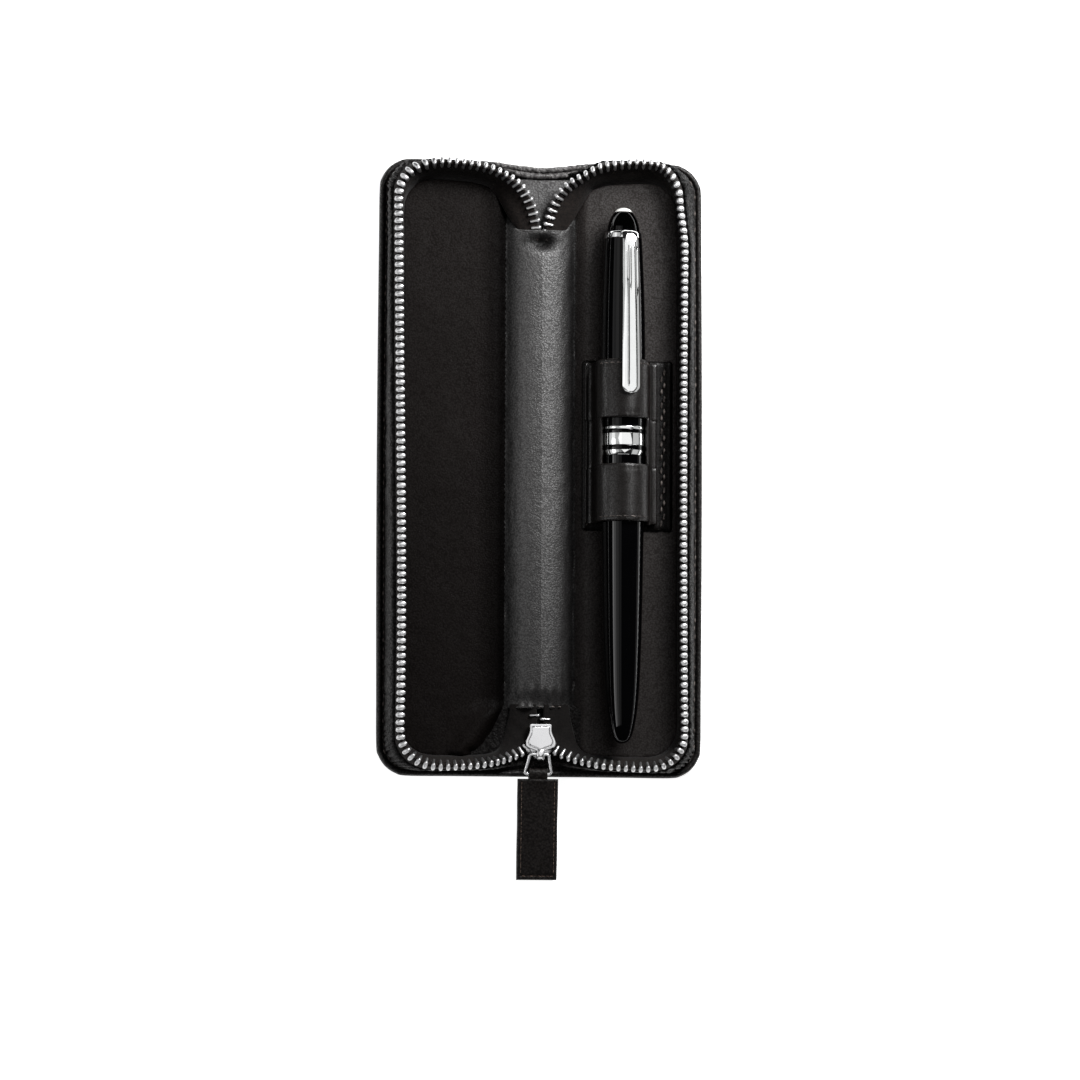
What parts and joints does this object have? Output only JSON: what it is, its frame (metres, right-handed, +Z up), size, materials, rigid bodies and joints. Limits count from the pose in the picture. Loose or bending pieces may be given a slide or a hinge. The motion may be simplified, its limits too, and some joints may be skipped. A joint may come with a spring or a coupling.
{
  "type": "zip-round leather pen pouch with a fountain pen",
  "caption": "Zip-round black leather pen pouch lying open and flat, a glossy black fountain pen held in a windowed leather loop, with a metal zip and a leather pull.",
  "frame": {"origin": "centre of the spine's outer face, which lies on the table", "axes": "+Y along the spine towards the pen's cap end, +Z up out of the open leather, +X towards the half that carries the pen"},
  "size_m": [0.087, 0.1914, 0.0177],
  "materials": {
    "cover_leather": "fine smooth-grained black leather, satin",
    "lining_leather": "matte black lining leather with a fine pebble",
    "spine_leather": "pebbled black leather with a soft sheen",
    "loop_leather": "black leather, slightly glossy",
    "board": "stiffener board",
    "tape_fabric": "woven black zip tape",
    "thread": "black polyester thread",
    "tab_thread": "brown-black thread",
    "zip_metal": "nickel-plated, lightly brushed",
    "pen_resin": "polished black resin",
    "pen_chrome": "polished plating",
    "inlay": "ivory-white resin",
    "inner_plastic": "moulded black plastic",
    "nib_steel": "polished steel",
    "converter_clear": "clear moulded tube"
  },
  "bodies": {
    "right_half": {"right_cover": "cover_leather", "right_board": "board", "right_lining": "lining_leather", "right_gusset": "cover_leather", "right_gusset_thread": "thread", "right_zip_tape": "tape_fabric", "right_zip_teeth": "zip_metal", "loop_backing": "loop_leather", "pen_loop": "loop_leather", "loop_thread": "thread"},
    "spine": {"spine_cover": "cover_leather", "spine_board": "board", "spine_lining": "spine_leather", "upper_zip_tape": "tape_fabric", "upper_zip_teeth": "zip_metal", "top_stop": "zip_metal", "lower_zip_tape": "tape_fabric", "lower_zip_teeth": "zip_metal", "bottom_stop": "zip_metal"},
    "left_half": {"left_cover": "cover_leather", "left_board": "board", "left_lining": "lining_leather", "left_gusset": "cover_leather", "left_gusset_thread": "thread", "left_zip_tape": "tape_fabric", "left_zip_teeth": "zip_metal"},
    "zip_slider": {"slider_body": "zip_metal", "slider_shield": "zip_metal"},
    "link": {"pull_link": "zip_metal"},
    "tab": {"pull_tab": "cover_leather", "tab_thread": "tab_thread"},
    "pen_cap": {"cap_body": "pen_resin", "cap_finial": "pen_resin", "finial_inlay": "inlay", "clip_ring": "pen_chrome", "cap_ring_upper": "pen_chrome", "cap_ring_middle": "pen_chrome", "cap_ring_lower": "pen_chrome", "cap_spacers": "pen_resin", "inner_cap": "inner_plastic"},
    "clip": {"pocket_clip": "pen_chrome"},
    "pen_barrel": {"barrel": "pen_resin", "section_ring": "pen_chrome", "grip_section": "pen_resin", "feed": "inner_plastic", "nib": "nib_steel", "converter_body": "converter_clear", "converter_piston": "inner_plastic", "converter_knob": "inner_plastic"}
  },
  "joints": [
    {"name": "spine_fold", "type": "hinge", "parent": "right_half", "child": "spine", "pos_m": [0.0098, 0, 0.001], "axis": [0, 1, 0], "range_deg": [0, 90]},
    {"name": "left_fold", "type": "hinge", "parent": "spine", "child": "left_half", "pos_m": [-0.0098, 0, 0.001], "axis": [0, 1, 0], "range_deg": [0, 90]},
    {"name": "slider_travel", "type": "slide", "parent": "spine", "child": "zip_slider", "axis": [0, 1, 0], "range_m": [0, 0.001]},
    {"name": "link_swing", "type": "hinge", "parent": "zip_slider", "child": "link", "pos_m": [0, -0.0762, 0.0047], "axis": [1, 0, 0], "range_deg": [-100, 0]},
    {"name": "tab_swing", "type": "hinge", "parent": "link", "child": "tab", "pos_m": [0, -0.0814, 0.0039], "axis": [1, 0, 0], "range_deg": [-60, 15]},
    {"name": "pen_slide", "type": "slide", "parent": "right_half", "child": "pen_cap", "axis": [0, 1, 0], "range_m": [0, 0.0075]},
    {"name": "clip_flex", "type": "hinge", "parent": "pen_cap", "child": "clip", "pos_m": [0.02131, 0.0604, 0.01515], "axis": [0.9994, 0, -0.0349], "range_deg": [-5, 0], "stiffness_Nm_per_rad": 0.5},
    {"name": "barrel_turn", "type": "hinge", "parent": "pen_cap", "child": "pen_barrel", "pos_m": [0.0211, 0, 0.00925], "axis": [0, 1, 0], "range_deg": [0, 450]}
  ]
}
